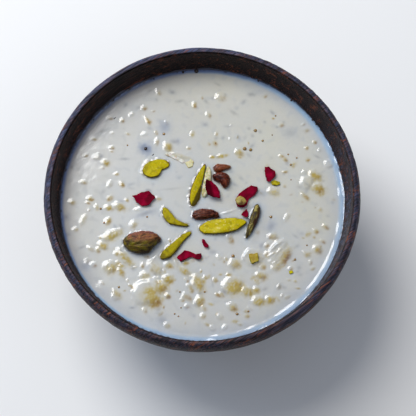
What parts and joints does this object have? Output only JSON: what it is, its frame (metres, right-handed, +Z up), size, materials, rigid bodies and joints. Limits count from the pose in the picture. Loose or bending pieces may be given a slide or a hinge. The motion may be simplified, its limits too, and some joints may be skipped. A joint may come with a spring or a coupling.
{
  "type": "bowl of kheer rice pudding",
  "caption": "Creamy rice pudding in a round turned wooden bowl, topped with pistachio kernels and slivers, raisins and torn rose petals.",
  "frame": {"origin": "centre of the bowl's foot, on the surface that the bowl stands on", "axes": "+Z up; +Y away from the eater, towards the far rim; +X to the eater's right"},
  "size_m": [0.128, 0.128, 0.055],
  "materials": {
    "wood": "dark stained wood with thin orange-brown grain, satin",
    "kheer": "wet, milky, smooth",
    "pistachio": "cut nut flesh, slightly moist",
    "pistachio_skin": "thin wrinkled nut skin",
    "almond": "pale cut nut flesh",
    "raisin": "wrinkled, moist skin",
    "petal": "dry velvety petal"
  },
  "bodies": {
    "root": {"bowl": "wood", "kheer": "kheer", "pistachio_bean": "pistachio", "pistachio_whole": "pistachio_skin", "pistachio_sliver_tall": "pistachio", "pistachio_sliver_curved": "pistachio", "pistachio_sliver_wide": "pistachio", "pistachio_sliver_dark": "pistachio_skin", "pistachio_sliver_low": "pistachio", "almond_sliver": "almond", "nut_bit": "almond", "raisin_long": "raisin", "raisin_folded": "raisin", "raisin_flap": "raisin", "petal_left": "petal", "petal_centre": "petal", "petal_right": "petal", "petal_far": "petal", "petal_small": "petal", "petal_tiny": "petal", "petal_low": "petal"}
  },
  "joints": []
}
